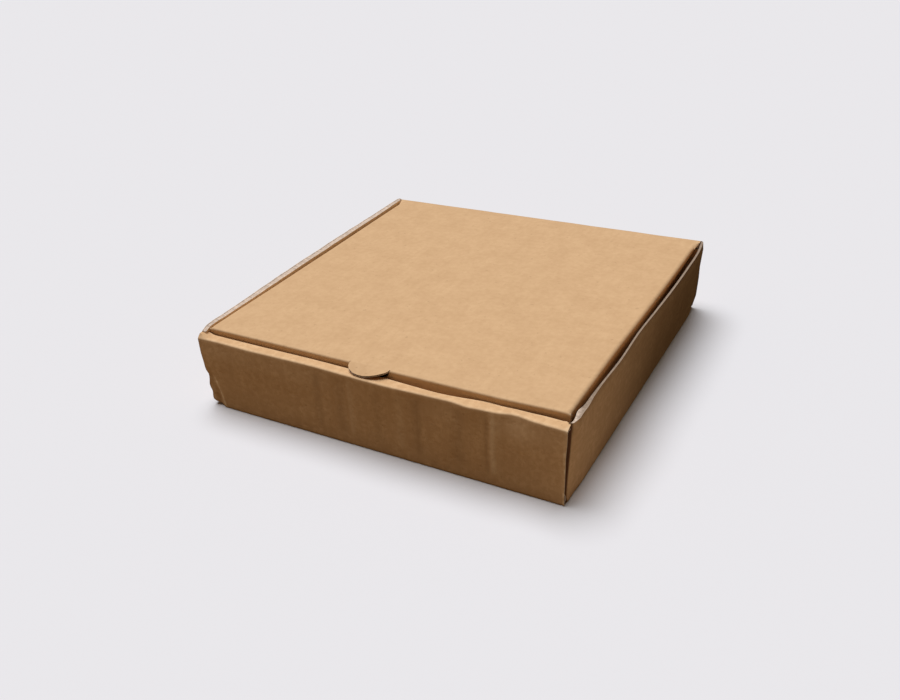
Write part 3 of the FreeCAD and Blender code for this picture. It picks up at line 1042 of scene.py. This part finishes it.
def tab_slit():
    """The thin curved cut between the thumb tab and the front flap."""
    outer, inner = [], []
    for grown, made in ((TAB_SLIT, outer), (0.0, inner)):
        for step in range(TAB_STEPS + 1):
            angle = math.pi * step / TAB_STEPS
            across, along = math.cos(angle), math.sin(angle)
            power = TAB_LEFT_POWER if across < 0 else TAB_RIGHT_POWER
            stretch = (abs(across) ** power + abs(along) ** power) ** (-1 / power)
            made.append((
                TAB_SHIFT + (TAB_HALF + grown) * across * stretch,
                -LID_TURN - (TAB_REACH + grown) * along * stretch,
            ))
    return outer + inner[::-1]


def make_lid():
    """The lid's board, folded from its blank."""
    columns = both(lid_side_line.lines(0, lid_side_line.length, U_STEP))
    rows = [BACK - value for value in lid_front_line.lines(0, lid_front_line.length, V_STEP)]

    def blank_of(table):
        return table * (1, -1, BOARD) + (0, CREASE_END + LID_BACK, 0)

    return folded_board(
        "lid_board", lid_outline(), [tab_slit()], sorted(columns), sorted(rows), fold_lid, blank_of
    )


def crease_section():
    """The crease's outline from the back wall over its outside to the lid, and back inside."""
    centre = Vector((BACK - FOLD, LID_TOP - FOLD))
    wall_outer = Vector((BACK, LID_TOP - FOLD))
    lid_outer = Vector((BACK - FOLD, LID_TOP))
    inward = Vector((-BOARD, -BOARD))
    slide = (lid_outer - wall_outer).normalized() * CREASE_OVERLAP
    outer, inner = [], []
    for step in range(CREASE_ROWS + 1):
        t = step / CREASE_ROWS
        angle = math.pi / 2 * t
        outer.append(centre + FOLD * Vector((math.cos(angle), math.sin(angle))))
        bead = inward.normalized() * CREASE_BEAD * math.sin(math.pi * t) ** 2
        inner.append((wall_outer + inward) * (1 - t) + (lid_outer + inward) * t - bead)
    outside = [wall_outer - slide] + outer + [lid_outer + slide]
    inside = [lid_outer + inward + slide] + inner[::-1] + [wall_outer + inward - slide]
    return outside, inside


def make_crease():
    """The scored board between the back wall and the lid."""
    outside, inside = crease_section()
    section = outside + inside
    count = len(section)
    last = len(outside) - 1
    shares = [math.sin(math.pi * index / last) for index in range(last)] + [0.0] * (count - last)
    points, polygons, blank = [], [], []
    for x in np.linspace(-CREASE_HALF, CREASE_HALF, CREASE_COLUMNS):
        wander = noise.noise(Vector((x * 60, 2.2, 0.3))) * CREASE_WANDER
        for index, (y, z) in enumerate(section):
            shift = wander * shares[index]
            points.append((x, y + shift, z + shift))
            blank.append((x, CREASE_START + index * 0.3 * MM, 0.0))
    for column in range(CREASE_COLUMNS - 1):
        for index in range(count):
            other = (index + 1) % count
            base = column * count
            polygons.append([base + index, base + other, base + count + other, base + count + index])
    polygons.append(list(range(count))[::-1])
    polygons.append([(CREASE_COLUMNS - 1) * count + index for index in range(count)])
    mesh = bpy.data.meshes.new("lid_crease")
    mesh.from_pydata(points, [], polygons)
    set_attributes(mesh, blank, [CREASE_WEAR] * len(points))
    return finished_piece("lid_crease", mesh)


class Nodes:
    """Short names for building a material's nodes."""

    def __init__(self, name):
        self.material = bpy.data.materials.new(name)
        self.material.use_nodes = True
        self.tree = self.material.node_tree
        self.shader = self.tree.nodes["Principled BSDF"]

    def put(self, value, socket):
        """Joins another node's output to a socket, or writes a plain value on it."""
        if isinstance(value, bpy.types.NodeSocket):
            self.tree.links.new(value, socket)
        else:
            socket.default_value = value

    def add(self, kind, inputs, **settings):
        """A new node of a kind, with its settings made before its inputs."""
        node = self.tree.nodes.new("ShaderNode" + kind)
        for name, setting in settings.items():
            setattr(node, name, setting)
        for label, value in inputs.items():
            self.put(value, node.inputs[label])
        return node

    def attribute(self, name, output):
        return self.add("Attribute", {}, attribute_name=name).outputs[output]

    def math(self, operation, first, second, clamp=False):
        return self.add("Math", {0: first, 1: second}, operation=operation, use_clamp=clamp).outputs[0]

    def stretched(self, vector, scale):
        return self.add("VectorMath", {0: vector, 1: scale}, operation="MULTIPLY").outputs[0]

    def noise(self, vector, scale, detail, roughness=0.5):
        inputs = {"Vector": vector, "Scale": scale, "Detail": detail, "Roughness": roughness}
        return self.add("TexNoise", inputs).outputs["Fac"]

    def remap(self, value, low, high, out_low=0, out_high=1):
        inputs = {"Value": value, "From Min": low, "From Max": high, "To Min": out_low, "To Max": out_high}
        return self.add("MapRange", inputs).outputs["Result"]

    def mix(self, amount, first, second):
        inputs = {"Factor": amount, "A": first, "B": second}
        return self.add("Mix", inputs, data_type="RGBA").outputs["Result"]

    def bump(self, height, strength):
        inputs = {"Strength": strength, "Distance": BUMP_DISTANCE, "Height": height}
        self.put(self.add("Bump", inputs).outputs["Normal"], self.shader.inputs["Normal"])

    def surface(self, colour, roughness, specular):
        self.put(colour, self.shader.inputs["Base Color"])
        self.put(roughness, self.shader.inputs["Roughness"])
        self.put(specular, self.shader.inputs["Specular IOR Level"])


def tinted(colour, factors):
    """A colour with each channel multiplied, and full cover."""
    return (*(min(1, channel * factor) for channel, factor in zip(colour, factors)), 1)


def kraft_paper(name, colour, mottling):
    """Unbleached paper: blotches, streaks along the flutes, fibres, specks, small dents and wear, and
    painted light and shade.
    """
    made = Nodes(name)
    blank = made.attribute("blank", "Vector")
    wear_and_painted_light = made.attribute("wear_and_painted_light", "Fac")
    blotch = made.noise(blank, 60, 3, 0.55)
    mottle = made.noise(blank, 260, 3, 0.6)
    fibre = made.noise(made.stretched(blank, (1.0, 0.28, 1.0)), 1500, 2)
    speck = made.noise(blank, 330, 1)
    streak = made.noise(made.stretched(blank, (1.0, 0.10, 1.0)), 210, 3, 0.6)
    dent = made.noise(blank, 150, 2, 0.5)
    darker = tinted(colour, DARKER)
    toned = (*colour, 1)
    for pattern, low, high, most, other in (
        (blotch, 0.36, 0.64, 0.35 + 0.50 * mottling, darker),
        (mottle, 0.35, 0.70, 0.25, tinted(colour, PALER)),
        (streak, 0.42, 0.66, 0.75 * mottling, darker),
        (mottle, 0.56, 0.42, 0.80 * mottling, darker),
        (fibre, 0.30, 0.70, 0.12, darker),
        (speck, 0.68, 0.76, 0.16, (*SPECK_COLOUR, 1)),
    ):
        toned = made.mix(made.remap(pattern, low, high, 0, most), toned, other)
    # Positive values are scuffs and painted light; negative ones are darker paper and painted shade
    scuffs_and_painted_light = made.math("MULTIPLY", wear_and_painted_light, made.remap(mottle, 0.3, 0.6, 0.7, 1.2), clamp=True)
    toned = made.mix(scuffs_and_painted_light, toned, tinted(colour, SCUFFED_AND_PAINTED_LIGHT))
    shade = made.math("MULTIPLY", wear_and_painted_light, -0.42, clamp=True)
    toned = made.mix(shade, toned, (*DARK_PAPER_AND_PAINTED_SHADE, 1))
    made.surface(toned, PAPER_ROUGHNESS, PAPER_SPECULAR)
    height = made.math("ADD", made.math("MULTIPLY", fibre, 0.3), mottle)
    dents = made.math("MULTIPLY", made.remap(dent, 0.56, 0.74), 1.6)
    made.bump(made.math("SUBTRACT", height, dents), 0.4)
    return made.material


def cut_board(name, colour, roughness):
    """The raw edge of a paper or of the flutes."""
    made = Nodes(name)
    blank = made.attribute("blank", "Vector")
    grain = made.noise(blank, 700, 3, 0.6)
    dull = tinted(colour, (DULL, DULL, DULL))
    toned = made.mix(made.remap(grain, 0.35, 0.65), (*colour, 1), dull)
    # Darker where the value is negative: painted shade over the split along the right front fold, and a
    # darker right rim
    shade = made.math("MULTIPLY", made.attribute("wear_and_painted_light", "Fac"), -1.0, clamp=True)
    toned = made.mix(shade, toned, (*DARK_CUT_AND_PAINTED_SHADE, 1))
    made.surface(toned, roughness, CUT_SPECULAR)
    made.bump(grain, 0.6)
    return made.material


def floor_material():
    """A floor that is pale to the camera, and darker and warmer where it lights the box. Along
    the box's right side it is light at the front and dark at the back."""
    made = Nodes("floor")
    path = made.add("LightPath", {})
    place = made.add("TexCoord", {}).outputs["Object"]
    x, y, z = made.add("SeparateXYZ", {0: place}).outputs
    right = made.remap(x, *BESIDE_X)
    behind_front = made.remap(y, *BESIDE_Y)
    back = made.remap(y, *DARKENING_Y)
    beside = made.mix(back, (*FLOOR_LIGHT, 1), (*FLOOR_DARK, 1))
    unseen = made.mix(made.math("MULTIPLY", right, behind_front), (*FLOOR_UNSEEN, 1), beside)
    toned = made.mix(path.outputs["Is Camera Ray"], unseen, (*FLOOR_SEEN, 1))
    made.surface(toned, 1.0, 0.0)
    return made.material


def make_floor():
    """A wide pale floor just under the box."""
    mesh = bpy.data.meshes.new("floor")
    reach = FLOOR_REACH
    corners = [(-reach, -reach, 0), (reach, -reach, 0), (reach, reach, 0), (-reach, reach, 0)]
    mesh.from_pydata(corners, [], [(0, 1, 2, 3)])
    floor = bpy.data.objects.new("floor", mesh)
    floor.location.z = -FLOOR_DROP
    bpy.context.scene.collection.objects.link(floor)
    floor.data.materials.append(floor_material())


def light_scene():
    """A wide soft sun from the back left, and a dim warm room that the camera sees as pale."""
    sun = bpy.data.lights.new("sun", "SUN")
    sun.energy = SUN_STRENGTH
    sun.angle = math.radians(SUN_SOFTNESS)
    lamp = bpy.data.objects.new("sun", sun)
    lamp.rotation_euler = (math.radians(-SUN_FROM_BACK), math.radians(-SUN_FROM_LEFT), 0)
    bpy.context.scene.collection.objects.link(lamp)
    world = bpy.data.worlds.new("room")
    bpy.context.scene.world = world
    world.use_nodes = True
    nodes = world.node_tree.nodes
    path = nodes.new("ShaderNodeLightPath")
    mix = nodes.new("ShaderNodeMix")
    mix.data_type = "RGBA"
    mix.inputs["A"].default_value = (*ROOM_UNSEEN, 1)
    mix.inputs["B"].default_value = (*ROOM_SEEN, 1)
    world.node_tree.links.new(path.outputs["Is Camera Ray"], mix.inputs["Factor"])
    world.node_tree.links.new(mix.outputs["Result"], nodes["Background"].inputs["Color"])
    bpy.context.scene.view_settings.view_transform = "Standard"


add_camera()
make_floor()
light_scene()
tray = make_tray()
lid = make_lid()
crease = make_crease()
for piece, colour, mottling in ((tray, TRAY_PAPER, TRAY_MOTTLING), (lid, LID_PAPER, LID_MOTTLING)):
    piece.data.materials.append(kraft_paper(piece.name + "_paper", colour, mottling))
    piece.data.materials.append(cut_board(piece.name + "_cut", CUT_COLOUR, CUT_ROUGHNESS))
    piece.data.materials.append(cut_board(piece.name + "_core", CORE_COLOUR, CORE_ROUGHNESS))
crease.data.materials.append(lid.data.materials[0])
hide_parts("tray")
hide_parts("lid")
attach(tray, "tray")
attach(lid, "lid")
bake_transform(crease)
